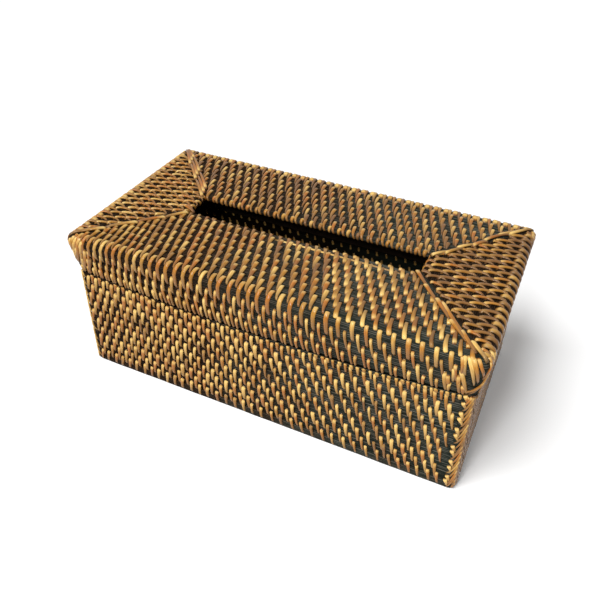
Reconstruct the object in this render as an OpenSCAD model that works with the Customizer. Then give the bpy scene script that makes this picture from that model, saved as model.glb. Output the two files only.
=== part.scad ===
// Woven rattan tissue box cover: an open base with a floor, and a lid with a tissue slot that
// lifts straight off. Walls and panels are flat bundles of dark fibre laid in rows and stitched
// together; bound posts stand at the corners, and bound ribs lie over the mitres of the lid.
// Sizes are in millimetres. +X runs along the length, -Y is the front, and Z = 0 is the table.

/* [Overall size] */
// Length over the corner posts at the top edge of the lid
top_length = 260; // [235:1:300]
// Width over the corner posts at the top edge of the lid
top_width = 138; // [120:1:170]
// Height of the closed box over the mitre ribs of the lid
overall_height = 104; // [98:1:130]
// Height of the lid, from the middle of the seam to the top of its mitre ribs
lid_height = 28; // [22:1:36]

/* [Lean of the walls] */
// How far each wall draws in at the seam
seam_inset = 2.8; // [1.5:0.1:4]
// How far each wall draws in at the foot
foot_inset = 1.5; // [0:0.1:3]

/* [Tissue slot] */
// Length of the slot between its bound edges
slot_length = 152; // [120:1:170]
// Width of the slot between its bound edges
slot_width = 19; // [14:1:32]

/* [Woven rows] */
// Height that one row of fibre is meant to have
row_pitch = 6.7; // [5.5:0.1:8]
// How far a row bulges beyond the valley beside it
row_bulge = 0.7; // [0.4:0.1:1]
// Distance between the courses of stitches along a long side of the top, at its middle
course_pitch = 6.6; // [6:0.1:9]
// How much each gap between courses differs from the one before it on the front, as a share
course_growth_share = 0.006; // [0:0.001:0.01]
// Width of one course of stitches
course_width = 3.9; // [3:0.1:4.5]
// How far a course stands proud of the rows that it binds
course_rise = 1; // [0.6:0.1:1.4]
// Slant of the courses on the front of the top, in degrees
front_course_slant = 13; // [0:1:20]
// Slant of the courses on the back of the top, in degrees
back_course_slant = 19; // [0:1:20]
// Thickness of the base walls over their stitches
base_wall = 6; // [5:0.1:7]
// Thickness of the floor panel
floor_thickness = 4.5; // [3:0.1:6]
// Height of the floor panel above the table
floor_lift = 1.2; // [0.6:0.1:3]

/* [Bindings] */
// How far the ribs over the mitres stand proud of the top panels
rib_rise = 0.8; // [0.6:0.1:1.4]
// Radius of the bound corner posts
post_radius = 4.5; // [4:0.1:6]
// Height of one turn of the binding on a corner post
turn_pitch = 3.4; // [2.6:0.1:5]
// Depth of the grooves between those turns
turn_groove = 0.4; // [0.2:0.05:0.5]
// Width of the bound ribs over the mitres of the lid
mitre_width = 7; // [5:0.1:9]

/* [Locating lip] */
// Thickness of the lip laths
lip_thickness = 2.4; // [1.8:0.1:3.5]
// How far the lip stands up above the seam
lip_rise = 6; // [4:0.5:10]
// How far the lip reaches down inside the base
lip_depth = 14; // [9:0.5:20]

/* [Clearances] */
// Gap between the lip and the lid that slides over it
lip_clearance = 0.6; // [0.4:0.1:0.9]
// Gap between base and lid at the seam
seam_gap = 0.4; // [0.3:0.1:0.6]
// Gap between a bar and the post or rod that it butts against
butt_gap = 0.1; // [0.05:0.05:0.2]

/* [Hidden] */
SIDE_NAMES = ["front", "right", "back", "left"];
CORNER_NAMES = ["front_right", "back_right", "back_left", "front_left"];
SIDE_PARTS = ["base_wall", "base_foot_row", "base_rim_row", "base_lip_lath", "lid_rim_row",
    "lid_skirt", "lid_edge_rod", "lid_top_panel", "lid_slot_rod"];
CORNER_PARTS = ["base_corner_post", "lid_corner_post", "lid_mitre_rib"];

rattan = "#b98a4f";
bare_lath = "#c9a574";
stitched = "#86693f";
$fn = 96;
// Overrun of every cut past the face that it opens
overrun = 2;
// How far the rows of one panel lap over each other, so that they are one solid
row_lap = 0.05;

half_length = top_length / 2;
half_width = top_width / 2;
seam_height = overall_height - lid_height;
base_top = seam_height - seam_gap / 2;
lid_bottom = seam_height + seam_gap / 2;

// The edge rods of the lid run through the centres of the balls on its corner posts
panel_top = overall_height - rib_rise;
ball_height = panel_top - post_radius;

// The lid is thinner than the base, so that its skirt clears the lip
lid_wall = base_wall - lip_clearance;
slot_rod_radius = lid_wall / 2;
slot_rod_height = panel_top - slot_rod_radius;

// Whole rows that fill the base, the skirt and the floor
base_rows = max(3, round(base_top / row_pitch));
base_row_height = base_top / base_rows;
skirt_top = ball_height - post_radius / 2;
skirt_rows = max(2, round((skirt_top - lid_bottom) / row_pitch));
skirt_row_height = (skirt_top - lid_bottom) / skirt_rows;

// Leans of the corner posts, measured across the diagonal
base_tilt = atan(sqrt(2) * (seam_inset - foot_inset) / seam_height);
lid_tilt = atan(sqrt(2) * seam_inset / (ball_height - seam_height));

// How far the outside is drawn in at a height, from the top edge of the lid
function lean(height) = height <= seam_height
    ? foot_inset + (seam_inset - foot_inset) * height / seam_height
    : seam_inset * (ball_height - height) / (ball_height - seam_height);

// Distance of a side's outer plane from the middle, and half of the slot in that direction
function reach(side) = side % 2 == 0 ? half_width : half_length;
function across(side) = reach(side + 1);
function slot_reach(side) = side % 2 == 0 ? slot_width / 2 : slot_length / 2;
function slot_rod_axis(side) = slot_reach(side) + slot_rod_radius;

// How far the inner face of the base walls stands in, at most, between two heights
function base_inside(low, high) = max(lean(max(low - base_row_height, 0)),
    lean(min(high + base_row_height, seam_height))) + base_wall;

// Puts a section along one side: its x runs inward from the outer plane, and its y is height
module along_side(side, length) {
    rotate([0, 0, 90 * side])
        translate([0, -reach(side), 0])
            rotate([90, 0, 90])
                linear_extrude(height = length, center = true)
                    children();
}

// One row of fibre, bulging on both faces: x from 0 to thick, y from 0 to tall, where it laps
// a little over the rows beside it
module row_section(thick, tall) {
    bulge_radius = (tall * tall / 4 + row_bulge * row_bulge) / (2 * row_bulge);
    intersection() {
        translate([bulge_radius, tall / 2])
            circle(r = bulge_radius);
        translate([thick - bulge_radius, tall / 2])
            circle(r = bulge_radius);
        translate([0, -row_lap])
            square([thick, tall + 2 * row_lap]);
    }
}

// A flat field of rows laid side by side: x from 0 to width, y from -thick to 0
module flat_rows(width, rows, thick) {
    intersection() {
        for (row = [0:rows - 1])
            translate([row * width / rows, 0])
                rotate(-90)
                    row_section(thick, width / rows);
        translate([0, -thick])
            square([width, thick]);
    }
}

// Space of one side between the upright mitre planes at its two corners
module mitre_wedge(side) {
    depth = max(seam_inset, foot_inset) + base_wall + 2 * post_radius;
    rotate([0, 0, 90 * side])
        linear_extrude(height = overall_height)
            polygon([
                [-across(side), -reach(side)],
                [across(side), -reach(side)],
                [across(side) - depth, depth - reach(side)],
                [depth - across(side), depth - reach(side)]
            ]);
}

// Puts something at the corner numbered as its name, leaning outward with height by tilt degrees
module at_corner(corner, inset, height, tilt) {
    x_sign = corner < 2 ? 1 : -1;
    y_sign = corner == 1 || corner == 2 ? 1 : -1;
    translate([x_sign * (half_length - inset), y_sign * (half_width - inset), height])
        rotate([0, 0, atan2(y_sign, x_sign)])
            rotate([0, tilt, 0])
                children();
}

// Clear space round the four posts of the base, and round those of the lid
module base_post_space() {
    for (corner = [0:3])
        at_corner(corner, foot_inset + post_radius, 0, -base_tilt)
            translate([0, 0, -overrun])
                cylinder(r = post_radius + butt_gap, h = seam_height + 2 * overrun);
}

module lid_post_space() {
    for (corner = [0:3])
        at_corner(corner, post_radius, ball_height, lid_tilt)
            translate([0, 0, seam_height - ball_height - overrun])
                cylinder(r = post_radius + butt_gap, h = ball_height - seam_height + overrun);
}

module ball_space() {
    for (corner = [0:3])
        at_corner(corner, post_radius, ball_height, 0)
            sphere(r = post_radius + butt_gap);
}

// A post wound with turns of binding, standing on z = 0
module wound_post(turns) {
    bulge_radius = (turn_pitch * turn_pitch / 4 + turn_groove * turn_groove) / (2 * turn_groove);
    rotate_extrude()
        for (turn = [0:turns - 1])
            translate([0, turn * turn_pitch])
                intersection() {
                    translate([post_radius - bulge_radius, turn_pitch / 2])
                        circle(r = bulge_radius);
                    square([post_radius, turn_pitch]);
                }
}

// Everything between two heights
module level(bottom, top) {
    translate([-top_length, -top_width, bottom])
        cube([2 * top_length, 2 * top_width, top - bottom]);
}

// Rows first to last of a wall, each as long and as far in as the lean at its middle asks
module wall_rows(side, first, last, start, tall, thick) {
    intersection() {
        for (row = [first:last]) {
            inset = lean(start + (row + 1 / 2) * tall);
            along_side(side, 2 * (across(side) - post_radius - inset))
                translate([inset, start + row * tall])
                    row_section(thick, tall);
        }
        mitre_wedge(side);
        level(start + first * tall, start + (last + 1) * tall);
    }
}

module base_rows_on(side, first, last) {
    difference() {
        wall_rows(side, first, last, 0, base_row_height, base_wall);
        base_post_space();
    }
}

module base_foot_row(side) {
    color(stitched)
        base_rows_on(side, 0, 0);
}

module base_wall_panel(side) {
    color(stitched)
        base_rows_on(side, 1, base_rows - 2);
}

module base_rim_row(side) {
    color(stitched)
        base_rows_on(side, base_rows - 1, base_rows - 1);
}

module base_corner_post(corner) {
    post_length = seam_height / cos(base_tilt) + 2 * overrun;
    color(rattan)
        intersection() {
            at_corner(corner, foot_inset + post_radius, 0, -base_tilt)
                translate([0, 0, -overrun])
                    wound_post(ceil(post_length / turn_pitch));
            level(0, base_top);
        }
}

// Floor of woven rows that runs between the walls, notched round the posts
module base_floor() {
    floor_top = floor_lift + floor_thickness;
    edge = base_inside(0, floor_top) + butt_gap;
    floor_width = top_width - 2 * edge;
    rows = max(3, round(floor_width / row_pitch));
    color(stitched)
        difference() {
            rotate([90, 0, 90])
                linear_extrude(height = top_length - 2 * edge, center = true)
                    translate([-floor_width / 2, floor_top])
                        flat_rows(floor_width, rows, floor_thickness);
            base_post_space();
        }
}

// Upright lath inside the base wall, with a rounded top that guides the lid
module base_lip_lath(side) {
    face = base_inside(seam_height - lip_depth, seam_height);
    length = 2 * (across(side) - seam_inset - 2 * post_radius - lip_clearance);
    top = seam_height + lip_rise - lip_thickness / 2;
    color(bare_lath)
        along_side(side, length) {
            translate([face, seam_height - lip_depth])
                square([lip_thickness, top - seam_height + lip_depth]);
            translate([face + lip_thickness / 2, top])
                circle(d = lip_thickness);
        }
}

module edge_rod_section(gap) {
    translate([post_radius, ball_height])
        circle(r = post_radius + gap);
}

module slot_rod_section(side, gap) {
    translate([reach(side) - slot_rod_axis(side), slot_rod_height])
        circle(r = slot_rod_radius + gap);
}

module lid_rows_on(side, first, last) {
    difference() {
        wall_rows(side, first, last, lid_bottom, skirt_row_height, lid_wall);
        along_side(side, 2 * across(side))
            edge_rod_section(butt_gap);
        lid_post_space();
    }
}

module lid_rim_row(side) {
    color(stitched)
        lid_rows_on(side, 0, 0);
}

module lid_skirt(side) {
    color(stitched)
        lid_rows_on(side, 1, skirt_rows - 1);
}

module lid_edge_rod(side) {
    color(rattan)
        difference() {
            intersection() {
                along_side(side, 2 * (across(side) - post_radius))
                    edge_rod_section(0);
                mitre_wedge(side);
            }
            ball_space();
            lid_post_space();
        }
}

module lid_corner_post(corner) {
    turns = ceil((ball_height - seam_height) / cos(lid_tilt) / turn_pitch) + 1;
    color(rattan)
        intersection() {
            union() {
                at_corner(corner, post_radius, ball_height, lid_tilt)
                    translate([0, 0, -turns * turn_pitch])
                        wound_post(turns);
                at_corner(corner, post_radius, ball_height, 0)
                    sphere(r = post_radius);
            }
            level(lid_bottom, overall_height);
        }
}

// Middle line of a mitre in the frame of a side: its outer end, its inner end, and its direction
function mitre_outer(side) = [across(side) - post_radius, post_radius - reach(side)];
function mitre_inner(side) = [slot_rod_axis(side + 1), -slot_rod_axis(side)];
function mitre_run(side) = mitre_inner(side) - mitre_outer(side);
function mitre_direction(side) = mitre_run(side) / norm(mitre_run(side));

// Space of one side of the top between the ribs over its two mitres
module panel_wedge(side) {
    along = mitre_direction(side);
    shift = mitre_width / 2 + butt_gap;
    edge_point = mitre_outer(side) + shift * [-along[1], along[0]];
    to_middle = -edge_point[0] / along[0];
    to_outside = (-reach(side) - edge_point[1]) / along[1];
    outside = edge_point + to_outside * along;
    middle = edge_point + to_middle * along;
    rotate([0, 0, 90 * side])
        linear_extrude(height = overall_height)
            polygon([outside, middle, [-outside[0], outside[1]]]);
}

// Place of a course, counted from the middle, along the front or the back
function course_place(course, side) =
    course_pitch * course * (1 + (side == 0 ? course_growth_share / 2 : 0) * course);

// Courses of stitches side by side along a long side of the top, slanted across its rows
module stitch_courses(side) {
    slant = side == 0 ? front_course_slant : back_course_slant;
    last = ceil((across(side) + reach(side) * tan(slant)) / course_pitch);
    rotate([0, 0, 90 * side])
        translate([0, 0, panel_top - lid_wall / 2])
            linear_extrude(height = lid_wall / 2)
                for (course = [-last:last])
                    translate([course_place(course, side), -reach(side) / 2])
                        rotate(slant)
                            square([course_width, 2 * reach(side)], center = true);
}

// Section along one side of the top, cleared for the rods at its two edges
module between_rods(side) {
    along_side(side, 2 * across(side))
        difference() {
            children();
            edge_rod_section(butt_gap);
            slot_rod_section(side, butt_gap);
        }
}

// Field of rows on one side of the top; on the long sides courses of stitches stand on them,
// a little in from the rods so that each one has a row under it
module lid_top_panel(side) {
    start = post_radius * 3 / 2;
    run = reach(side) - slot_rod_axis(side) - slot_rod_radius / 2 - start;
    rows = max(2, round(run / row_pitch));
    is_long = side % 2 == 0;
    sunk = is_long ? course_rise : 0;
    course_start = start + post_radius / 3;
    course_run = run - post_radius / 3 - slot_rod_radius / 2;
    color(stitched)
        intersection() {
            union() {
                between_rods(side)
                    translate([start, panel_top - sunk])
                        flat_rows(run, rows, lid_wall - sunk);
                if (is_long)
                    intersection() {
                        stitch_courses(side);
                        between_rods(side)
                            translate([course_start, panel_top - lid_wall / 2])
                                square([course_run, lid_wall / 2]);
                    }
            }
            panel_wedge(side);
        }
}

// Rod along one edge of the slot, mitred to its neighbours
module lid_slot_rod(side) {
    outer = [slot_rod_axis(side + 1), slot_rod_axis(side)] + [1, 1] * (slot_rod_radius + overrun);
    inner = outer - [1, 1] * 2 * (slot_rod_radius + overrun);
    color(rattan)
        intersection() {
            along_side(side, 2 * outer[0])
                slot_rod_section(side, 0);
            rotate([0, 0, 90 * side])
                linear_extrude(height = overall_height)
                    polygon([
                        [-outer[0], -outer[1]],
                        [outer[0], -outer[1]],
                        [inner[0], -inner[1]],
                        [-inner[0], -inner[1]]
                    ]);
        }
}

// Section of a rib: a bar with a crowned top, centred on x = 0
module rib_section() {
    thick = lid_wall + rib_rise;
    crown = rib_rise / 2;
    crown_radius = (mitre_width * mitre_width / 4 + crown * crown) / (2 * crown);
    intersection() {
        translate([-mitre_width / 2, 0])
            square([mitre_width, thick]);
        translate([0, thick - crown_radius])
            circle(r = crown_radius);
    }
}

// Space between the axes of the edge rods, without that between the axes of the slot rods
module rib_zone() {
    edge_axes = [half_length - post_radius, half_width - post_radius];
    slot_axes = [slot_rod_axis(1), slot_rod_axis(0)];
    linear_extrude(height = overall_height + overrun)
        difference() {
            square(2 * edge_axes, center = true);
            square(2 * slot_axes, center = true);
        }
}

// Bound rib over the mitre that starts at one corner; it is coped over the rods at both ends
module lid_mitre_rib(corner) {
    outer = mitre_outer(corner);
    run = mitre_run(corner);
    color(rattan)
        difference() {
            intersection() {
                rotate([0, 0, 90 * corner])
                    translate([outer[0], outer[1], panel_top - lid_wall])
                        rotate([0, 0, atan2(run[1], run[0])])
                            rotate([90, 0, 90])
                                translate([0, 0, -overrun])
                                    linear_extrude(height = norm(run) + 2 * overrun)
                                        rib_section();
                rib_zone();
            }
            for (side = [corner, corner + 1])
                along_side(side, 2 * across(side)) {
                    edge_rod_section(butt_gap);
                    slot_rod_section(side, butt_gap);
                    translate([reach(side) - slot_rod_axis(side) - slot_rod_radius - butt_gap, 0])
                        square([slot_rod_axis(side), slot_rod_height]);
                }
        }
}

module side_part(part, side) {
    if (part == "base_wall") base_wall_panel(side);
    if (part == "base_foot_row") base_foot_row(side);
    if (part == "base_rim_row") base_rim_row(side);
    if (part == "base_lip_lath") base_lip_lath(side);
    if (part == "lid_rim_row") lid_rim_row(side);
    if (part == "lid_skirt") lid_skirt(side);
    if (part == "lid_edge_rod") lid_edge_rod(side);
    if (part == "lid_top_panel") lid_top_panel(side);
    if (part == "lid_slot_rod") lid_slot_rod(side);
}

module corner_part(part, corner) {
    if (part == "base_corner_post") base_corner_post(corner);
    if (part == "lid_corner_post") lid_corner_post(corner);
    if (part == "lid_mitre_rib") lid_mitre_rib(corner);
}

base_floor();
for (part = SIDE_PARTS, side = [0:3])
    side_part(part, side);
for (part = CORNER_PARTS, corner = [0:3])
    corner_part(part, corner);
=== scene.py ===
"""Woven rattan tissue box cover: dark fibre rows bound by strands of rattan peel, on base and lid."""

import math

import bpy
import numpy as np
from mathutils import Matrix, Vector


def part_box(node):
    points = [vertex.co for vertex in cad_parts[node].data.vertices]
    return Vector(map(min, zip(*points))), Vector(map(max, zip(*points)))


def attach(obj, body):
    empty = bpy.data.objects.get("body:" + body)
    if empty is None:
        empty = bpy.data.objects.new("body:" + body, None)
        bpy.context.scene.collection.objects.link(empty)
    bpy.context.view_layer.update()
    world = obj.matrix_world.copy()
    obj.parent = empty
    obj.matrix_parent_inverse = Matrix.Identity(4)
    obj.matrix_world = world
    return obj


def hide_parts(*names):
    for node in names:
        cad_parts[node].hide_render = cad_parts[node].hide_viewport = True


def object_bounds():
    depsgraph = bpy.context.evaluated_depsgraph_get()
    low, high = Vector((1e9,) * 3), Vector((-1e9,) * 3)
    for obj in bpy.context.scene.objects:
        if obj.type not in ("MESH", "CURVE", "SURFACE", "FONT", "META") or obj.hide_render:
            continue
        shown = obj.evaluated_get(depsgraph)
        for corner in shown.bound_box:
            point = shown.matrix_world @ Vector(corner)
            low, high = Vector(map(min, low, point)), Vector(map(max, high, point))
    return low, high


bl_info = {
    "name": "Woven Tissue Box Cover",
    "version": (1, 0, 0),
    "blender": (4, 5, 0),
    "location": "3D View > Sidebar > Tissue Box",
    "description": "Weaves the walls, the lid and the bindings of a rattan tissue box cover",
    "category": "Add Mesh",
}

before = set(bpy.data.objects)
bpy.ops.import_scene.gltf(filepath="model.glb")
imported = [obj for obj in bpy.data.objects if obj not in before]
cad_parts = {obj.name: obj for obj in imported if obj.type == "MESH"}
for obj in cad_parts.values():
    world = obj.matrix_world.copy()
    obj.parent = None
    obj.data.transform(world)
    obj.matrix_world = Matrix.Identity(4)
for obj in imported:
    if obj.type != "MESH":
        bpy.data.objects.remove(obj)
FRAME_BOX = [list(corner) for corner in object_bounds()]

# Lengths in this script are in millimetres, apart from the properties and the finished meshes
MM = 0.001
SIDES = ("front", "right", "back", "left")
CORNERS = ("front_right", "back_right", "back_left", "front_left")


def node_box(node):
    """Lowest and highest corner of a node, in millimetres."""
    low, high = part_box(node)
    return np.array(low) / MM, np.array(high) / MM


# Places that the frame gives
HALF_LENGTH = FRAME_BOX[1][0] / MM
HALF_WIDTH = FRAME_BOX[1][1] / MM
TOP = FRAME_BOX[1][2] / MM
PANEL_TOP = node_box("lid_top_panel_front")[1][2]
BASE_TOP = node_box("base_rim_row_front")[1][2]
LID_BOTTOM = node_box("lid_rim_row_front")[0][2]
SKIRT_TOP = node_box("lid_skirt_front")[1][2]
POST_RADIUS = HALF_WIDTH - node_box("lid_edge_rod_right")[1][1]
SLOT_HALF_LENGTH = node_box("lid_slot_rod_right")[0][0]
SLOT_HALF_WIDTH = node_box("lid_slot_rod_back")[0][1]
SLOT_ROD_RADIUS = (node_box("lid_slot_rod_back")[1][1] - SLOT_HALF_WIDTH) / 2
# Height of the seam's middle, and of the centres of the rounded top edges
SEAM = (BASE_TOP + LID_BOTTOM) / 2
BALL_HEIGHT = PANEL_TOP - POST_RADIUS
# How far the walls are drawn in at the seam and at the foot
SEAM_INSET = 2.8
FOOT_INSET = 1.5
# Thickness of the walls
BASE_WALL = 6.0
LID_WALL = 5.4
# Rows on the base, on the skirt, and on the long and the end fields of the top, which start this far in
BASE_ROWS = 11
SKIRT_ROWS = 3
TOP_ROWS = (7, 6)
ROW_START = POST_RADIUS * 1.5


def reach(side):
    """From the middle of the box out to a side."""
    return HALF_WIDTH if side % 2 == 0 else HALF_LENGTH


def across(side):
    """Half the length of a side."""
    return reach(side + 1)


def slot_axis(side):
    """From the middle of the box to the middle of the slot's rod on a side."""
    return (SLOT_HALF_WIDTH if side % 2 == 0 else SLOT_HALF_LENGTH) + SLOT_ROD_RADIUS


def lean(height):
    """How far a wall is drawn in at a height."""
    return np.where(
        height <= SEAM,
        FOOT_INSET + (SEAM_INSET - FOOT_INSET) * height / SEAM,
        SEAM_INSET * (BALL_HEIGHT - height) / (BALL_HEIGHT - SEAM),
    )


# How far the rows hang down at the seam in the middle of each side, and the height that they hang from
SEAM_SAG = (6.5, 1.7, 6.5, 1.7)
SAG_START = 8


def sag(side, u, height):
    """How far a point of a wall hangs down: most in the middle of the seam, nothing at the corners."""
    along = np.clip(1 - (u / (across(side) - POST_RADIUS)) ** 2, 0, 1)
    below = np.clip((height - SAG_START) / (SEAM - SAG_START), 0, 1)
    above = np.clip((BALL_HEIGHT - height) / (BALL_HEIGHT - SEAM), 0, 1)
    return SEAM_SAG[side % 4] * along * np.where(height < SEAM, below, above)


def turned(points, quarter):
    """Points turned about the middle of the box by quarter turns."""
    x, y, z = points[..., 0], points[..., 1], points[..., 2]
    for _ in range(quarter % 4):
        x, y = -y, x
    return np.stack([x, y, z], -1)


# Properties


class WeaveSizes(bpy.types.PropertyGroup):
    strand_width: bpy.props.FloatProperty(
        name="Strand width", description="Width of the strands as a share of their own widths",
        default=1.0, min=0.5, max=1.5, subtype="FACTOR")
    strand_thickness: bpy.props.FloatProperty(
        name="Strand thickness", description="Depth that the strands of peel take up over the fibre",
        default=0.0011, unit="LENGTH")
    fibre_pitch: bpy.props.FloatProperty(
        name="Fibre pitch", description="Distance between the fine fibres of a row",
        default=0.00112, unit="LENGTH")
    fibre_relief: bpy.props.FloatProperty(
        name="Fibre relief", description="How far a fine fibre stands out of its row",
        default=0.00034, unit="LENGTH")
    groove_depth: bpy.props.FloatProperty(
        name="Groove depth", description="Depth of the grooves between two rows of fibre",
        default=0.0009, unit="LENGTH")


def colour_property(name, description, default):
    return bpy.props.FloatVectorProperty(
        name=name, description=description, subtype="COLOR", size=3, min=0, max=1, default=default)


class WeaveColours(bpy.types.PropertyGroup):
    honey: colour_property("Honey peel", "Commonest colour of the rattan peel", (0.45, 0.232, 0.038))
    pale: colour_property("Pale peel", "Colour of the palest strands", (0.80, 0.56, 0.19))
    amber: colour_property("Amber peel", "Colour of the reddest strands", (0.46, 0.170, 0.026))
    # Dusky also stands for painted shade, through the low tones held on the right face
    dusky: colour_property("Dusky peel", "Colour of the greyed strands", (0.20, 0.104, 0.040))
    fibre_green: colour_property("Green fibre", "Colour of the dark green fibre", (0.012, 0.018, 0.013))
    # Nearly black: partly the fibre's colour, partly painted shade on the left and on the end fields
    fibre_brown_and_shade: colour_property("Brown fibre", "Colour of the black brown fibre", (0.007, 0.0035, 0.0015))
    fibre_rubbed: colour_property(
        "Rubbed brown fibre", "Colour of the brown fibre where it has rubbed", (0.085, 0.050, 0.028))
    fibre_worn: colour_property(
        "Rubbed green fibre", "Colour of the green fibre where it has rubbed", (0.13, 0.130, 0.108))
    lath: colour_property("Stained lath", "Colour of the stained wooden laths", (0.030, 0.016, 0.008))


class StageSettings(bpy.types.PropertyGroup):
    key_energy: bpy.props.FloatProperty(
        name="Key light", description="Strength of the key light", default=2.75)
    front_power: bpy.props.FloatProperty(
        name="Front light", description="Power of the small light in front",
        default=1.25, unit="POWER")
    fill: bpy.props.FloatProperty(
        name="Fill light", description="Strength of the light from all round", default=0.23)
    floor_glow: bpy.props.FloatProperty(
        name="Floor glow", description="White that the floor adds for the camera", default=0.14)
    floor_colour: colour_property("Floor", "Colour of the floor", (0.93, 0.93, 0.93))


def sizes():
    return bpy.context.scene.weave_sizes


def colours():
    return bpy.context.scene.weave_colours


# Surfaces that the strands lie on: u runs along a row, v across the rows, h stands out


class Profile:
    """Outline of one side in a plane square to it: distance inward and height for each v."""

    def __init__(self, side, inward, height, zero):
        self.side = side
        inward, height = np.array(inward, float), np.array(height, float)
        steps = np.hypot(np.diff(inward), np.diff(height))
        self.v = np.concatenate([[0], np.cumsum(steps)]) - zero
        self.inward, self.height = inward, height

    def at(self, v):
        return np.interp(v, self.v, self.inward), np.interp(v, self.v, self.height)

    def section(self, v, h):
        """Inward distance and height of points that stand h out of the outline."""
        step = 0.35
        d0, z0 = self.at(v - step)
        d1, z1 = self.at(v + step)
        size = np.maximum(np.hypot(d1 - d0, z1 - z0), 1e-6)
        d, z = self.at(v)
        return d + h * (z1 - z0) / size, z - h * (d1 - d0) / size

    def __call__(self, u, v, h):
        d, z = self.section(v, h)
        return turned(np.stack([u, d - reach(self.side), z - sag(self.side, u, z)], -1), self.side)


def arc(centre, radius, start, stop, count):
    """Points on an arc, as inward distances and heights."""
    angles = np.radians(np.linspace(start, stop, count))
    return centre[0] + radius * np.cos(angles), centre[1] + radius * np.sin(angles)


def base_profile(side):
    """Over the rim, down the outside, and under the foot of the base."""
    high, low = lean(BASE_TOP), lean(0.0)
    return Profile(side, [high + 6, high, low, low + 6], [BASE_TOP, BASE_TOP, 0, 0], 6)


def lid_profile(side):
    """From inside the slot over its rod, out over the top and its rounded edge, to the seam."""
    rod = (reach(side) - slot_axis(side), PANEL_TOP - SLOT_ROD_RADIUS)
    slot_d, slot_z = arc(rod, SLOT_ROD_RADIUS, -88, 90, 20)
    edge_d, edge_z = arc((POST_RADIUS, BALL_HEIGHT), POST_RADIUS, 90, 180, 16)
    foot = lean(LID_BOTTOM)
    inward = np.concatenate([slot_d, edge_d, [foot, foot + 5]])
    height = np.concatenate([slot_z, edge_z, [LID_BOTTOM, LID_BOTTOM]])
    run = np.hypot(np.diff(slot_d), np.diff(slot_z)).sum() + (rod[0] - POST_RADIUS)
    return Profile(side, inward, height, run)


class CornerSurface:
    """Surface round one upright corner: q runs round it from its own side to the next one, 0 in
    the middle, and v runs down from the centre of the ball, negative over the ball."""

    def __init__(self, corner, top):
        self.corner, self.top = corner, top

    def __call__(self, q, v, h):
        half = POST_RADIUS * math.pi / 4
        z = self.top - np.maximum(v, 0)
        rise = np.where(v < 0, np.minimum(-v / POST_RADIUS, math.pi / 2), 0.0)
        inset = lean(z) + POST_RADIUS
        turn = np.clip(q, -half, half) / POST_RADIUS - math.pi / 4
        out_x, out_y = np.cos(turn), np.sin(turn)
        x = across(self.corner) - inset + np.minimum(q + half, 0)
        y = -reach(self.corner) + inset + np.maximum(q - half, 0)
        spread = (POST_RADIUS + h) * np.cos(rise)
        points = np.stack([x + out_x * spread, y + out_y * spread,
                           z + (POST_RADIUS + h) * np.sin(rise)], -1)
        return turned(points, self.corner)


class MitreSurface:
    """Surface along one mitre of the lid: u runs in from the corner, v across, h up."""

    def __init__(self, corner):
        self.corner = corner
        self.start = np.array([across(corner) - POST_RADIUS, POST_RADIUS - reach(corner)])
        end = np.array([slot_axis(corner + 1), -slot_axis(corner)])
        self.length = float(np.linalg.norm(end - self.start))
        self.along = (end - self.start) / self.length

    def __call__(self, u, v, h):
        x = self.start[0] + self.along[0] * u - self.along[1] * v
        y = self.start[1] + self.along[1] * u + self.along[0] * v
        over = np.sqrt(np.maximum(TOP - BALL_HEIGHT, 0) ** 2 - np.minimum(np.maximum(-u, 0), 4.4) ** 2)
        return turned(np.stack([x, y, BALL_HEIGHT + over + h], -1), self.corner)


def mitre_slope(side):
    """How far the end of a row moves in along its side for each millimetre towards the slot."""
    return (MitreSurface(side).start[0] - slot_axis(side + 1)) / (reach(side) - POST_RADIUS - slot_axis(side))


# Meshes


def deselect_all():
    """Leaves edit mode with nothing selected."""
    if bpy.context.object and bpy.context.object.mode != "OBJECT":
        bpy.ops.object.mode_set(mode="OBJECT")
    bpy.ops.object.select_all(action="DESELECT")


def vertex_array(mesh):
    """Places of all vertices of a mesh, one to a row."""
    flat = np.zeros(len(mesh.vertices) * 3)
    mesh.vertices.foreach_get("co", flat)
    return flat.reshape(-1, 3)


def closed_tube(name, around, stations):
    """A capped tube, with each vertex's number round it and along it."""
    deselect_all()
    bpy.ops.mesh.primitive_cylinder_add(vertices=around, radius=1, depth=2)
    tube = bpy.context.object
    tube.name = tube.data.name = name
    mesh = tube.data
    bpy.ops.object.mode_set(mode="EDIT")
    bpy.ops.mesh.select_mode(type="EDGE")
    bpy.ops.mesh.select_all(action="DESELECT")
    bpy.ops.object.mode_set(mode="OBJECT")
    for edge in mesh.edges:
        first, second = (mesh.vertices[i].co.z for i in edge.vertices)
        edge.select = abs(first - second) > 1
    bpy.ops.object.mode_set(mode="EDIT")
    bpy.ops.mesh.subdivide(number_cuts=stations - 2)
    bpy.ops.object.mode_set(mode="OBJECT")
    at = vertex_array(mesh)
    turn = np.arctan2(at[:, 0], at[:, 1]) / (2 * math.pi) * around
    return tube, np.rint(turn).astype(int) % around, np.rint((at[:, 2] + 1) / 2 * (stations - 1)).astype(int)


def face_corners(mesh):
    """Corner lists of a mesh: each face's size, and all vertex numbers in a row."""
    totals = np.zeros(len(mesh.polygons), int)
    mesh.polygons.foreach_get("loop_total", totals)
    corners = np.zeros(len(mesh.loops), int)
    mesh.loops.foreach_get("vertex_index", corners)
    return totals, corners


def signed_volume(mesh):
    at = vertex_array(mesh)
    mesh.calc_loop_triangles()
    tri = np.zeros(len(mesh.loop_triangles) * 3, int)
    mesh.loop_triangles.foreach_get("vertices", tri)
    a, b, c = (at[tri.reshape(-1, 3)[:, k]] for k in range(3))
    middle = at.mean(0)
    return float(np.einsum("ij,ij->i", a - middle, np.cross(b - middle, c - middle)).sum())


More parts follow.
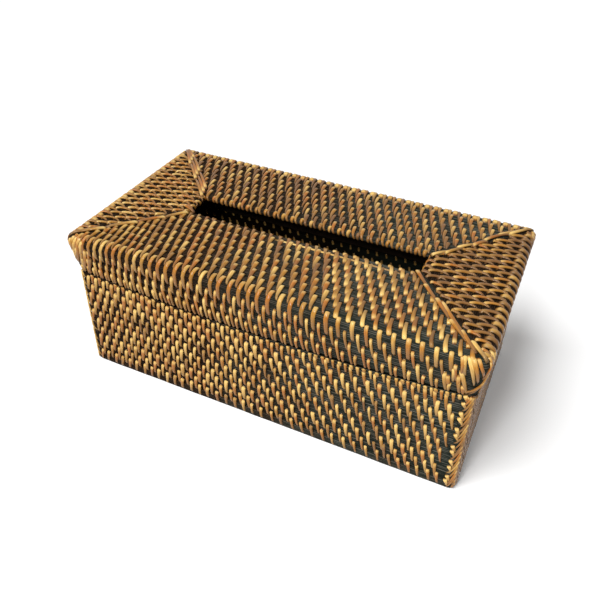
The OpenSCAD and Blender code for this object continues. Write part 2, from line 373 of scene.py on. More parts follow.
def finish_piece(piece, body, material, nodes=()):
    """Turns the faces outwards, shades, colours and hands the piece to its body."""
    mesh = piece.data
    if signed_volume(mesh) < 0:
        mesh.flip_normals()
    mesh.polygons.foreach_set("use_smooth", [True] * len(mesh.polygons))
    mesh.materials.clear()
    mesh.materials.append(material)
    mesh.update()
    if material.name == "dark_fibre":
        # Share of black brown in the fibre, which is partly painted shade
        set_share(mesh, "brown", brown_and_shade_share(*(vertex_array(mesh) / MM).T))
    if nodes:
        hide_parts(*nodes)
    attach(piece, body)
    return piece


def set_weave(mesh, values):
    """Stores the place on the weave: across or along in millimetres, and the tone."""
    attribute = mesh.attributes.new("weave", "FLOAT_VECTOR", "POINT")
    attribute.data.foreach_set("vector", np.ascontiguousarray(values, np.float32).ravel())


# Strands

# Section of a strand of peel: a rounded skin over a flat back, across and up
STRAND_SECTION = ((-1.0, -1.0), (-0.97, 0.1), (-0.60, 0.80), (0.0, 1.0), (0.60, 0.80), (0.97, 0.1), (1.0, -1.0))
# Stations along a strand, closest where it dives
STRAND_STATIONS = (0.0, 0.05, 0.11, 0.22, 0.38, 0.54, 0.70, 0.82, 0.89, 0.95, 1.0)
# A plainer strand for the faces inside, where only short pieces show
PLAIN_SECTION = ((-1.0, -1.0), (-0.6, 0.7), (0.6, 0.7), (1.0, -1.0))
PLAIN_STATIONS = (0.0, 0.14, 0.5, 0.82, 1.0)
_patterns = {}


def strand_pattern(plain=False):
    """The one strand that all others are copied from: place along, across and up of each vertex."""
    if plain not in _patterns:
        section, stations = ((PLAIN_SECTION, PLAIN_STATIONS) if plain else (STRAND_SECTION, STRAND_STATIONS))
        tube, around, along = closed_tube("strand_pattern", len(section), len(stations))
        section, stations = np.array(section), np.array(stations)
        totals, corners = face_corners(tube.data)
        _patterns[plain] = dict(
            t=stations[along], w=section[around, 0], h=section[around, 1], totals=totals, corners=corners)
        bpy.data.objects.remove(tube)
    return _patterns[plain]


def ease(x):
    """Smooth step from 0 to 1."""
    x = np.clip(x, 0, 1)
    return x * x * (3 - 2 * x)


class Strands:
    """A list of strands to be laid on a surface."""

    FIELDS = ("u", "v0", "v1", "lean", "bow", "width", "thick", "lift", "tone", "head", "tail", "dip", "roll",
              "narrow", "sink", "tail_at")
    DEFAULTS = dict(lean=0, bow=0, width=2.1, thick=1.05, lift=0, tone=0.5, head=1.35, tail=1.2, dip=0.08,
                    roll=0, narrow=0.62, sink=0.22, tail_at=0.76)

    def __init__(self):
        self.rows = []

    def add(self, **values):
        self.rows.append([values.get(f, self.DEFAULTS.get(f)) for f in self.FIELDS])

    def clipped(self, limit):
        """Strands shortened to where limit(u, v) is positive, and dropped where little is left."""
        kept = Strands()
        t = np.linspace(0, 1, 25)
        for row in self.rows:
            s = dict(zip(self.FIELDS, row))
            u = s["u"] + s["lean"] * t + s["bow"] * 4 * t * (1 - t)
            v = s["v0"] + (s["v1"] - s["v0"]) * t
            inside = np.flatnonzero(limit(u, v) > 0)
            if len(inside) < 7:
                continue
            a, b = inside[0], inside[-1]
            share = t[b] - t[a]
            kept.add(**{**s, "u": u[a], "v0": v[a], "v1": v[b], "lean": u[b] - u[a],
                        "bow": s["bow"] * share ** 2})
        return kept

    def lay(self, name, surface, body, material, slot="bound_strands", seed=1, plain=False):
        """Copies the pattern strand to each place and joins the copies into one mesh."""
        pattern = strand_pattern(plain)
        f = {n: c[:, None] for n, c in zip(self.FIELDS, np.array(self.rows, float).T)}
        t, w, h = pattern["t"][None], pattern["w"][None], pattern["h"][None]
        u = f["u"] + f["lean"] * t + f["bow"] * 4 * t * (1 - t)
        v = f["v0"] + (f["v1"] - f["v0"]) * t
        du = f["lean"] + f["bow"] * 4 * (1 - 2 * t)
        dv = f["v1"] - f["v0"]
        size = np.hypot(du, dv)
        half = f["width"] * sizes().strand_width / 2 * (0.84 + 0.16 * ease(t / 0.10))
        half = half * (1 - (1 - f["narrow"]) * ease((t - 0.25) / 0.75))
        u, v = u + w * half * dv / size, v - w * half * du / size
        middle = -f["thick"] / 2 + f["lift"] - f["sink"] * ease((t - 0.12) / 0.6)
        middle = middle - f["head"] * (1 - ease(t / 0.13)) - f["tail"] * ease((t - f["tail_at"]) / (1 - f["tail_at"]))
        middle = middle - f["dip"] * np.exp(-((t - 0.45) / 0.13) ** 2)
        up = middle + h * f["thick"] / 2 + f["roll"] * w * 0.3
        up = np.minimum(up, f["lift"])
        points = surface(u, v, up)
        count, verts = len(self.rows), len(pattern["t"])
        corners = (pattern["corners"][None] + verts * np.arange(count)[:, None]).ravel()
        totals = np.tile(pattern["totals"], count)
        mesh = bpy.data.meshes.new(name)
        mesh.vertices.add(count * verts)
        mesh.vertices.foreach_set("co", (points * MM).reshape(-1))
        mesh.loops.add(len(corners))
        mesh.loops.foreach_set("vertex_index", corners)
        mesh.polygons.add(len(totals))
        mesh.polygons.foreach_set("loop_start", np.concatenate([[0], np.cumsum(totals)[:-1]]))
        mesh.update(calc_edges=True)
        mesh.validate()
        draws = np.random.default_rng(seed).uniform(0, 900, (count, 1))
        length = np.abs(f["v1"] - f["v0"])
        set_weave(mesh, np.stack(np.broadcast_arrays(w * half, t * length + draws, f["tone"] + 0 * t), -1))
        set_share(mesh, "run", np.broadcast_to(t, u.shape))
        piece = bpy.data.objects.new(name, mesh)
        bpy.context.scene.collection.objects.link(piece)
        return finish_piece(piece, body, material)


# Rows of fibre


def outline_of_rows(profile, grooves, thickness, cut):
    """Closed outline of some rows: the outside with its fine fibres, then the plainer inside."""
    pitch, relief, depth = sizes().fibre_pitch / MM, sizes().fibre_relief / MM, sizes().groove_depth / MM
    ground = sizes().strand_thickness / MM * 0.95
    out_v, out_h, fibre, ridges = [], [], [], []
    number = 0
    for low, high in zip(grooves[:-1], grooves[1:]):
        fibres = max(3, round((high - low) / pitch))
        share = (np.arange(fibres * 3) + 0.5) / (fibres * 3)
        bulge = np.abs(2 * share - 1) ** 2.4
        ridge = np.tile([0.0, 1.0, 0.8], fibres)
        out_v.append(low + share * (high - low))
        out_h.append(-ground - depth * bulge + relief * (ridge - 1))
        fibre.append(number + np.repeat(np.arange(fibres), 3))
        ridges.append(ridge)
        number += fibres
    in_v, in_h = [], []
    for low, high in zip(grooves[:-1], grooves[1:]):
        share = (np.arange(8) + 0.5) / 8
        in_v.append(low + share * (high - low))
        in_h.append(-thickness + 0.75 + 0.6 * np.abs(2 * share - 1) ** 2.4)
    v = np.concatenate([*out_v, *[x[::-1] for x in in_v[::-1]]])
    h = np.concatenate([*out_h, *[x[::-1] for x in in_h[::-1]]])
    fibres = np.concatenate([*fibre, np.full(len(grooves) * 8 - 8, number)])
    ridges = np.concatenate([*ridges, np.full(len(grooves) * 8 - 8, 0.3)])
    v = np.clip(v, grooves[0] + cut[0], grooves[-1] - cut[1])
    d, z = profile.section(v, h)
    return d, z, v, fibres, ridges


def outline_of_rod(centre, radius, count):
    """Closed outline of a round bundle of fibre."""
    turn = np.linspace(0, 2 * math.pi, count, endpoint=False)
    relief = sizes().fibre_relief / MM
    ridge = np.tile([0.0, 1.0, 0.8], count // 3)
    size = radius + relief * (ridge - 1)
    return (centre[0] + size * np.cos(turn), centre[1] + size * np.sin(turn), turn * radius,
            np.repeat(np.arange(count // 3), 3), ridge)


# Share of black brown in the dark fibre from left to right: partly the fibre's own colour, partly painted shade
BROWN_AND_SHADE_SHARES = ((-130, -60, -10, 40, 110), (1.0, 0.92, 0.6, 0.2, 0.05))
# Run of the mitres along the box for each millimetre across it, and depth of the top
MITRE_RUN = 0.885
TOP_DEPTH = 7


def brown_and_shade_share(x, y, z):
    """How black brown the dark fibre is at a place, partly its own colour and partly painted shade: most on the left
    and on the end fields.
    """
    share = np.interp(x, *BROWN_AND_SHADE_SHARES)
    end_field = (np.abs(x) - SLOT_HALF_LENGTH) - (np.abs(y) - SLOT_HALF_WIDTH) * MITRE_RUN
    return np.where(z > TOP - TOP_DEPTH, np.maximum(share, np.clip(end_field / 4, 0, 1) * 0.95), share)


def set_share(mesh, name, values):
    """Stores one number for each vertex, for the materials to read."""
    attribute = mesh.attributes.new(name, "FLOAT", "POINT")
    attribute.data.foreach_set("value", np.ascontiguousarray(values, np.float32).ravel())


def bundle(name, side, outline, end_at, stations, body, nodes, seed):
    """Fibre drawn along a side with a given outline. end_at gives half the length at each point."""
    d, z, around_mm, fibre, ridge = outline
    tube, around, along = closed_tube(name, len(d), stations)
    share = 2 * along / (stations - 1) - 1
    u = share * end_at(d, z)[around]
    rng = np.random.default_rng(seed)
    phases = rng.uniform(0, 2 * math.pi, (fibre.max() + 1, 4))[fibre][around]
    wave = 0.055 * np.sin(u * 0.13 + phases[:, 0]) + 0.05 * np.sin(u * 0.29 + phases[:, 1])
    sway = 0.06 * np.sin(u * 0.10 + phases[:, 2]) + 0.05 * np.sin(u * 0.23 + phases[:, 3])
    outward = np.where(d[around] < d.mean(), 1, -1)
    height = z[around] - sag(side, u, z[around])
    inward = d[around] + outward * np.minimum(wave, 0.04)
    points = turned(np.stack([u, inward - reach(side), height + sway], -1), side)
    tube.data.vertices.foreach_set("co", (points * MM).ravel())
    set_share(tube.data, "ridge", ridge[around])
    tones = rng.uniform(0, 1, fibre.max() + 1)[fibre][around]
    set_weave(tube.data, np.stack([u, around_mm[around], tones], -1))
    return finish_piece(tube, body, dark_fibre(), nodes)


# Materials


def new_material(name):
    """A new material and its node tree, or the one there is and no tree."""
    material = bpy.data.materials.get(name)
    if material:
        return material, None
    material = bpy.data.materials.new(name)
    material.use_nodes = True
    return material, material.node_tree


def add_node(tree, kind, **values):
    node = tree.nodes.new(kind)
    for name, value in values.items():
        if name in node.inputs:
            node.inputs[name].default_value = value
        else:
            setattr(node, name, value)
    return node


def ramp(tree, factor, stops):
    """Colours at places along a factor."""
    node = tree.nodes.new("ShaderNodeValToRGB")
    elements = node.color_ramp.elements
    while len(elements) < len(stops):
        elements.new(0.5)
    for element, (position, colour) in zip(elements, stops):
        element.position = position
        element.color = (*colour, 1)
    tree.links.new(factor, node.inputs["Fac"])
    return node.outputs["Color"]


def mix(tree, factor, first, second, blend="MIX"):
    node = tree.nodes.new("ShaderNodeMix")
    node.data_type = "RGBA"
    node.blend_type = blend
    for socket, value in ((node.inputs["Factor"], factor), (node.inputs["A"], first), (node.inputs["B"], second)):
        if isinstance(value, bpy.types.NodeSocket):
            tree.links.new(value, socket)
        elif isinstance(value, (int, float)):
            socket.default_value = value
        else:
            socket.default_value = (*value, 1)
    return node.outputs["Result"]


def arithmetic(tree, operation, first, second=None, third=None):
    node = tree.nodes.new("ShaderNodeMath")
    node.operation = operation
    for socket, value in zip(node.inputs, (first, second, third)):
        if isinstance(value, bpy.types.NodeSocket):
            tree.links.new(value, socket)
        elif value is not None:
            socket.default_value = value
    return node.outputs["Value"]


def noise(tree, vector, scale, detail=2.0, roughness=0.5):
    """Noise of a given scale on a vector."""
    node = add_node(tree, "ShaderNodeTexNoise", Scale=scale, Detail=detail, Roughness=roughness)
    tree.links.new(vector, node.inputs["Vector"])
    return node.outputs["Fac"]


def stretched(tree, vector, scale):
    """A vector scaled differently on each axis, so that a pattern runs in streaks."""
    node = add_node(tree, "ShaderNodeMapping", Scale=scale)
    tree.links.new(vector, node.inputs["Vector"])
    return node.outputs["Vector"]


def attribute_node(tree, name):
    node = tree.nodes.new("ShaderNodeAttribute")
    node.attribute_name = name
    return node


def rattan_peel():
    """Glossy skin of rattan: each strand has its own tone, a pale head that is partly wear and partly painted
    highlight, a dull tail, and painted shade at both ends where it dives and along both sides.
    """
    material, tree = new_material("rattan_peel")
    if tree is None:
        return material
    c = colours()
    shader = tree.nodes["Principled BSDF"]
    shader.inputs["Specular IOR Level"].default_value = 0.2
    weave = attribute_node(tree, "weave")
    parts = tree.nodes.new("ShaderNodeSeparateXYZ")
    tree.links.new(weave.outputs["Vector"], parts.inputs["Vector"])
    run = attribute_node(tree, "run").outputs["Fac"]
    tone = ramp(tree, parts.outputs["Z"], (
        (0.0, tuple(c.dusky)), (0.20, tuple(c.honey)), (0.36, tuple(c.amber)), (0.50, tuple(c.honey)),
        (0.68, tuple(c.pale)), (0.82, tuple(c.honey)), (0.93, tuple(c.amber)), (1.0, tuple(c.dusky))))
    streaks = noise(tree, stretched(tree, weave.outputs["Vector"], (2.6, 0.11, 0.0)), 1.0, 3.0, 0.6)
    blotches = noise(tree, stretched(tree, weave.outputs["Vector"], (0.5, 0.23, 0.0)), 1.0, 2.0)
    streaked = mix(tree, ramp(tree, streaks, ((0.30, (0.0,) * 3), (0.72, (1.0,) * 3))), (0.60, 0.49, 0.38),
                   (1.20, 1.13, 0.98))
    coloured = mix(tree, 1.0, tone, streaked, "MULTIPLY")
    coloured = mix(tree, arithmetic(tree, "MULTIPLY", blotches, 0.18), coloured, tuple(c.amber))
    # Pale head: partly wear, partly a painted highlight where the strand turns over, weaker on the darker tones
    head = ramp(tree, run, ((0.03, (0.0,) * 3), (0.09, (1.0,) * 3), (0.32, (0.0,) * 3)))
    head_wear_and_highlight = ramp(tree, parts.outputs["Z"], ((0.0, (0.10,) * 3), (0.30, (0.62,) * 3), (0.60, (0.78,) * 3)))
    coloured = mix(tree, arithmetic(tree, "MULTIPLY", head, head_wear_and_highlight), coloured, tuple(c.pale))
    tail = ramp(tree, run, ((0.34, (0.0,) * 3), (0.74, (1.0,) * 3)))
    coloured = mix(tree, arithmetic(tree, "MULTIPLY", tail, 0.7), coloured, tuple(c.dusky))
    # Painted shade at both ends of each strand, where it dives into the fibre
    painted_end_shade = ramp(tree, run, ((0.0, (1.0,) * 3), (0.07, (0.0,) * 3), (0.84, (0.0,) * 3), (1.0, (1.0,) * 3)))
    darker = mix(tree, arithmetic(tree, "MULTIPLY", painted_end_shade, 0.8), coloured, (0.045, 0.022, 0.010))
    # Painted shade along both sides of each strand, where it meets the fibre
    edge = arithmetic(tree, "ABSOLUTE", parts.outputs["X"])
    edge = ramp(tree, arithmetic(tree, "MULTIPLY", edge, 0.6), ((0.56, (0.0,) * 3), (0.86, (1.0,) * 3)))
    darker = mix(tree, arithmetic(tree, "MULTIPLY", edge, 0.6), darker, (0.10, 0.048, 0.016))
    tree.links.new(darker, shader.inputs["Base Color"])
    tree.links.new(arithmetic(tree, "MULTIPLY_ADD", streaks, 0.20, 0.10), shader.inputs["Roughness"])
    bump = add_node(tree, "ShaderNodeBump", Strength=0.35, Distance=0.0002)
    tree.links.new(streaks, bump.inputs["Height"])
    tree.links.new(bump.outputs["Normal"], shader.inputs["Normal"])
    return material


def dark_fibre():
    """Dark fibre in fine threads: green on the right, nearly black brown on the left and on the end fields, partly
    its own colour and partly painted shade.
    """
    material, tree = new_material("dark_fibre")
    if tree is None:
        return material
    c = colours()
    shader = tree.nodes["Principled BSDF"]
    weave = attribute_node(tree, "weave")
    parts = tree.nodes.new("ShaderNodeSeparateXYZ")
    tree.links.new(weave.outputs["Vector"], parts.inputs["Vector"])
    brown = attribute_node(tree, "brown").outputs["Fac"]
    ridge = attribute_node(tree, "ridge").outputs["Fac"]
    place = tree.nodes.new("ShaderNodeTexCoord").outputs["Object"]
    patches = ramp(tree, noise(tree, place, 30.0, 2.0), ((0.38, (0.0,) * 3), (0.64, (1.0,) * 3)))
    brown = arithmetic(tree, "MINIMUM", arithmetic(tree, "MULTIPLY_ADD", patches, 0.35, brown), 1.0)
    # The black brown carries painted shade as well as the fibre's colour
    base = mix(tree, brown, tuple(c.fibre_green), tuple(c.fibre_brown_and_shade))
    threads = noise(tree, stretched(tree, weave.outputs["Vector"], (0.16, 2.3, 0.0)), 1.0, 3.0, 0.65)
    worn = ramp(tree, arithmetic(tree, "MULTIPLY_ADD", parts.outputs["Z"], 0.30, threads),
                ((0.50, (0.0,) * 3), (0.72, (1.0,) * 3)))
    # Fewer lighter threads where the fibre is black brown, which is partly painted shade
    worn = arithmetic(tree, "MULTIPLY", worn, arithmetic(tree, "MULTIPLY_ADD", brown, -0.5, 1.0))
    worn = arithmetic(tree, "MULTIPLY", worn, arithmetic(tree, "POWER", ridge, 2.0))
    rubbed = mix(tree, brown, tuple(c.fibre_worn), tuple(c.fibre_rubbed))
    tree.links.new(mix(tree, worn, base, rubbed), shader.inputs["Base Color"])
    shader.inputs["Roughness"].default_value = 0.6
    shader.inputs["Specular IOR Level"].default_value = 0.04
    bump = add_node(tree, "ShaderNodeBump", Strength=0.6, Distance=0.0003)
    tree.links.new(threads, bump.inputs["Height"])
    tree.links.new(bump.outputs["Normal"], shader.inputs["Normal"])
    return material


def stained_lath():
    """Split cane stained nearly black, with a fine grain along it."""
    material, tree = new_material("stained_lath")
    if tree is None:
        return material
    shader = tree.nodes["Principled BSDF"]
    place = tree.nodes.new("ShaderNodeTexCoord").outputs["Object"]
    grain = noise(tree, stretched(tree, place, (12.0, 12.0, 900.0)), 1.0, 4.0, 0.6)
    lath = tuple(colours().lath)
    tree.links.new(mix(tree, grain, tuple(x * 0.72 for x in lath), lath), shader.inputs["Base Color"])
    tree.links.new(arithmetic(tree, "MULTIPLY_ADD", grain, 0.2, 0.42), shader.inputs["Roughness"])
    bump = add_node(tree, "ShaderNodeBump", Strength=0.3, Distance=0.0002)
    tree.links.new(grain, bump.inputs["Height"])
    tree.links.new(bump.outputs["Normal"], shader.inputs["Normal"])
    return material


# The weave


def base_grooves():
    """v of the grooves between the rows of the base, from the rim down."""
    profile = base_profile(0)
    total = profile.v[2]
    return np.linspace(0, total, BASE_ROWS + 1)


def lid_grooves(side):
    """v of the grooves of the lid, from inside the slot to the seam."""
    profile = lid_profile(side)
    rows = TOP_ROWS[side % 2]
    inner = reach(side) - slot_axis(side) - SLOT_ROD_RADIUS / 2
    top = POST_RADIUS - np.linspace(inner, ROW_START, rows + 1)
    arc_length = POST_RADIUS * math.pi / 2
    slope = math.hypot(1, SEAM_INSET / (BALL_HEIGHT - SEAM))
    skirt = arc_length + (BALL_HEIGHT - np.linspace(SKIRT_TOP, LID_BOTTOM, SKIRT_ROWS + 1)) * slope
    return np.concatenate([[profile.v[0]], top, skirt])


# Pitch of the courses at places along each side, on the lid and on the base
LID_PITCHES = (
    ((-125, -92, -80, -30, 10, 45, 80, 100, 118), (4.6, 4.6, 5.5, 5.9, 6.3, 7.3, 7.5, 7.0, 6.3)),
    ((-62, 62), (6.4, 6.0)),
    ((-120, 120), (6.3, 6.5)),
    ((-62, 62), (6.2, 6.5)),
)
BASE_PITCHES = (
    ((-122, -90, -60, 0, 40, 75, 92, 117), (5.7, 5.8, 6.4, 6.5, 7.0, 7.3, 6.1, 5.7)),
    *LID_PITCHES[1:],
)
# How far a course runs along for each millimetre across the top, at places along its side
SLANTS = (
    ((-115, -95, -70, -30, 20, 70, 100), (0.10, 0.18, 0.30, 0.31, 0.35, 0.46, 0.49)),
    ((-62, 62), (0.42, 0.42)),
    ((-110, -60, -40, 120), (0.34, 0.38, 0.44, 0.45)),
    ((-62, 62), (0.40, 0.40)),
)


# How far the courses go on past the corners, so that slanted ones fill their field
OVERRUN = 34


def course_places(side, pitches, first):
    """Places of the courses along a side, where they pass over its edge."""
    places = [-across(side) - OVERRUN + first]
    while places[-1] < across(side) + OVERRUN:
        places.append(places[-1] + float(np.interp(places[-1], *pitches[side])))
    return places


def course_line(place, side, v):
    """Middle line of a course across the top, carried on past the edge."""
    return place + float(np.interp(place, *SLANTS[side])) * v


# Lean, bow and width of the stitches on the walls at places along the front
FRONT_LEANS = ((-115, -90, -60, -30, 0, 30, 60), (-2.6, -1.6, -0.9, -0.1, 0.9, 1.8, 2.1))
FRONT_BOWS = ((-110, -40, 30, 90), (-0.2, -0.8, -0.7, -0.3))
FRONT_WIDTHS = ((-120, -90, -60, -20, 20, 60, 120), (2.35, 2.55, 2.65, 2.5, 2.35, 2.1, 2.2))


def stitch_style(side, u):
    """Lean, bow and width of the stitches at a place along a side."""
    if side:
        return dict(lean=1.2, bow=-0.6, width=2.2 if side == 1 else 2.5)
    lean_here, bow, width = (float(np.interp(u, *at)) for at in (FRONT_LEANS, FRONT_BOWS, FRONT_WIDTHS))
    return dict(lean=lean_here, bow=bow, width=width)


# Width and range of tones of each row of stitches on the base, from the seam down
ROW_WIDTHS = (0.85, 0.88, 1.10, 0.98, 0.78, 0.84, 0.94, 0.88, 1.06, 0.90, 0.92)
ROW_TONES = ((0.3, 0.8), (0.2, 0.9), (0.3, 0.8), (0.3, 0.8), (0.0, 1.0), (0.0, 1.0), (0.2, 0.9), (0.0, 0.95),
             (0.3, 0.85), (0.0, 1.0), (0.0, 1.0))
# Tones of the strands on the right face, kept dusky as painted shade
SHADED = (-0.3, 0.12)


def wall_stitches(side, grooves, span, rng):
    """Stitches over two rows each, every other row half a pitch along and a little thinner."""
    strands = Strands()
    last = len(grooves) - 1
    places = course_places(side, BASE_PITCHES, 2.0)
    for row in range(-1, last - 1):
        start, stop = max(row, 0), row + 2
        full = (stop - start) / 2
        below = 1.5 + 0.13 * start
        # The right face takes dusky tones, as painted shade
        tones = SHADED if side == 1 else ROW_TONES[row + 1]
        for place, following in zip(places[:-1], places[1:]):
            u = place + (row % 2 == 0) * (following - place) / 2 - 0.45 * row
            if not span[0] < u < span[1]:
                continue
            style = stitch_style(side, u)
            strands.add(
                u=u + rng.normal(0, 0.26), v0=-1.4 if row < 0 else grooves[start] + below + rng.normal(0, 0.26),
                v1=grooves[stop] + (-0.9 + rng.normal(0, 0.3) if stop == last else below - 0.6 + rng.normal(0, 0.35)),
                lean=(style["lean"] + rng.normal(0, 0.35)) * full, bow=(style["bow"] + rng.normal(0, 0.2)) * full,
                width=style["width"] * ROW_WIDTHS[row + 1] + rng.normal(0, 0.12), tone=rng.uniform(*tones),
                roll=rng.normal(0, 0.25), lift=-abs(rng.normal(0, 0.10)), tail=0.9 if stop == last else 1.2,
                tail_at=0.82, narrow=0.62)
            if row < 0 and u > 30:
                strands.add(u=u + 0.48 * (following - place) + rng.normal(0, 0.2), v0=-1.4, v1=4.6, width=2.1,
                            lean=0.5, tone=rng.uniform(0.5, 0.8), lift=-0.05, narrow=0.95)
    return strands


def widened(grooves, above, below):
    """Grooves with the first and the last one moved out, where a row closes a wall."""
    lines = grooves.copy()
    lines[0] -= above
    lines[-1] += below
    return lines


def weave_base(side):
    """Fibre rows and stitches of one wall of the base."""
    profile = base_profile(side)
    grooves = base_grooves()
    name = SIDES[side]

    def end_at(d, z):
        return across(side) - np.maximum(d, lean(z) + POST_RADIUS)

    stations = 44 if side % 2 == 0 else 24
    rows = ((0, 1, f"base_rim_row_{name}", (1.2, 0), (1.3, 0)),
            (1, BASE_ROWS - 1, f"base_wall_{name}", (0, 0), (0, 0)),
            (BASE_ROWS - 1, BASE_ROWS, f"base_foot_row_{name}", (0, 1.3), (0, 1.4)))
    for first, last, node, wider, cut in rows:
        lines = widened(grooves[first:last + 1], *wider)
        outline = outline_of_rows(profile, lines, BASE_WALL, cut)
        bundle(f"fibre_{node}", side, outline, end_at, stations, "base", [node], 100 + 10 * side + first)

    rng = np.random.default_rng(20 + side)
    ends = (-across(side) + 8.5, across(side) - 13.0) if side == 0 else (-across(side) + 11, across(side) - 11)
    wall_stitches(side, grooves, ends, rng).lay(
        f"stitches_base_{name}", profile, "base", rattan_peel(), seed=30 + side)


def weave_lid(side):
    """Fibre rows, rods and stitches of one side of the lid."""
    profile = lid_profile(side)
    grooves = lid_grooves(side)
    name = SIDES[side]
    rows = TOP_ROWS[side % 2]
    stations = 44 if side % 2 == 0 else 24
    slope = mitre_slope(side)

    def top_end(d, z):
        return across(side) - POST_RADIUS - (d - POST_RADIUS) * slope

    def wall_end(d, z):
        return across(side) - np.maximum(d, lean(z) + POST_RADIUS)

    def slot_end(d, z):
        return slot_axis(side + 1) + (reach(side) - slot_axis(side)) - d

    top = grooves[1:rows + 2]
    bundle(f"fibre_lid_top_panel_{name}", side, outline_of_rows(profile, top, LID_WALL, (0, 0)), top_end,
           stations, "lid", [f"lid_top_panel_{name}"], 200 + side)
    skirt = grooves[rows + 2:]
    rows_below = ((0, SKIRT_ROWS - 1, "lid_skirt", (0, 0), (0, 0)),
                  (SKIRT_ROWS - 1, SKIRT_ROWS, "lid_rim_row", (0, 1.2), (0, 1.3)))
    for first, last, node, wider, cut in rows_below:
        lines = widened(skirt[first:last + 1], *wider)
        outline = outline_of_rows(profile, lines, LID_WALL, cut)
        bundle(f"fibre_{node}_{name}", side, outline, wall_end, stations, "lid", [f"{node}_{name}"],
               210 + 10 * side + first)
    ground = sizes().strand_thickness / MM * 0.95
    bundle(f"fibre_lid_edge_rod_{name}", side, outline_of_rod((POST_RADIUS, BALL_HEIGHT), POST_RADIUS - ground, 84),
           wall_end, stations, "lid", [f"lid_edge_rod_{name}"], 250 + side)
    bundle(f"fibre_lid_slot_rod_{name}", side,
           outline_of_rod((reach(side) - slot_axis(side), PANEL_TOP - SLOT_ROD_RADIUS), SLOT_ROD_RADIUS - ground, 48),
           slot_end, stations, "lid", [f"lid_slot_rod_{name}"], 260 + side)

    rng = np.random.default_rng(40 + side)
    top_strands(side, profile, grooves, rng, top_end).lay(
        f"stitches_lid_top_{name}", profile, "lid", rattan_peel(), seed=50 + side)
    if side == 0:
        slot_runner(profile)
    skirt_strands(side, rng).lay(f"stitches_lid_skirt_{name}", profile, "lid", rattan_peel(), seed=60 + side)


# Range of tones of the strands on the front, right, back and left fields of the top; the right field's is held dusky
# as painted shade
TOP_TONES = ((0.0, 1.0), (-0.12, 0.36), (-0.1, 0.95), (0.08, 0.64))
# Width of the chains at places along the front, and place from which they taper towards the edge
CHAIN_WIDTHS = ((-110, -80, -40, 0, 40, 80), (2.2, 2.4, 2.6, 2.75, 2.85, 2.4))
TAPER_FROM = 48
# Arches on the right and left fields, and their lengths
ARCHES = {1: dict(lean=1.8, bow=2.5, width=2.2), 3: dict(lean=-0.8, bow=-3.4, width=2.0)}
ARCH_LENGTHS = {1: 12.8, 3: 14.0}
# How far the last row of the top runs on over the rounded edge
OVER_EDGE = 8.2


def top_strands(side, profile, grooves, rng, top_end):
    """Stitches of one field of the top: slanted chains on the long sides, ropes of arches at the ends."""
    strands = Strands()
    rows = TOP_ROWS[side % 2]
    long_side = side % 2 == 0
    hand = -1 if side in (2, 3) else 1
    over = np.append(grooves[:rows + 2], grooves[rows + 1] + OVER_EDGE)
    places = course_places(side, LID_PITCHES, 1.0)
    for row in range(-1, rows + 1):
        v0, v1 = over[max(row, 0)], over[row + 2]
        if hand < 0:
            v0, v1 = v1, v0
        onward = math.copysign(1, v1 - v0)
        if not long_side:
            v1 = v0 + onward * ARCH_LENGTHS[side]
        for place in places:
            head, tail = (course_line(place, side, v) for v in (v0, v1))
            slant = abs(tail - head) / abs(v1 - v0)
            blunt = side == 0 and place > TAPER_FROM
            if long_side:
                offset = hand * max(0.9, (slant - 0.1) * 6.2)
                width = float(np.interp(place, *CHAIN_WIDTHS)) if side == 0 else 2.35
                style = dict(lean=tail - head - 2 * offset, bow=-hand * 0.6, width=width,
                             narrow=0.78 if blunt else 0.5, tail_at=0.87, sink=0.25)
            else:
                offset = 0
                style = dict(ARCHES[side], narrow=0.66, tail=0.9, sink=0.35)
            style["lean"] += rng.normal(0, 0.22)
            style["bow"] += rng.normal(0, 0.15)
            style["width"] += rng.normal(0, 0.14)
            u, start, stop = head + offset + rng.normal(0, 0.16), v0 - onward * 0.3, v1 - onward * 0.6 * long_side
            if side == 2 and row == -1:
                u += 3.2
            if blunt:
                u, start, stop, style["lean"] = u + style["lean"], stop, start, -style["lean"]
            strands.add(
                u=u, v0=start + rng.normal(0, 0.22), v1=stop + rng.normal(0, 0.3), tone=rng.uniform(*TOP_TONES[side]),
                roll=rng.normal(0, 0.25), lift=-abs(rng.normal(0, 0.08)), **style)

    def limit(u, v):
        d, z = profile.at(v)
        return top_end(d, z) - 1.6 - np.abs(u)

    return strands.clipped(limit)


def slot_runner(profile):
    """Long pale strand beside the slot that shows between the courses of the front."""
    strands = Strands()
    strands.add(u=-(reach(0) - slot_axis(0)) + 3.4 + POST_RADIUS, v0=-12.0, v1=73.0, lean=0.0, width=1.3, thick=0.6,
                tone=0.69, lift=-0.55, head=0.4, tail=0.4, narrow=1.0, sink=0, dip=0)
    strands.lay("runner_lid_slot_front", lambda u, v, h: profile(v, u, h), "lid", rattan_peel(), seed=80)


# Rows of stitches on the skirt: place along the pitch, start, stop and share of the wall's width
SKIRT_STITCHES = ((0.0, 1.6, 17.0, 1.16), (0.5, 10.2, 22.6, 0.82), (-0.1, 17.6, 31.0, 0.92), (0.42, 24.2, 31.0, 0.85))
# Lean of those rows at places along the front
SKIRT_LEANS = (
    ((-115, -75, -38, 0, 30, 70), (-3.2, -2.1, -2.1, -0.8, 0.1, 1.7)),
    ((-115, -75, -38, 0, 30, 65), (-3.3, -2.6, -2.2, -0.9, 0.8, 2.4)),
    ((-115, -75, -38, 0, 30, 70), (-1.4, -0.4, 0.5, 1.2, 1.6, 2.1)),
    ((-115, -75, -38, 0, 30, 70), (-0.4, 0.4, 0.8, 0.8, 0.8, 0.7)),
)
# How much earlier the first of those rows starts, and share of the width, at places along the front
SKIRT_EARLY = ((20, 50), (5.0, 0.0))
SKIRT_SHARES = ((-30, 30), (0.84, 1.0))


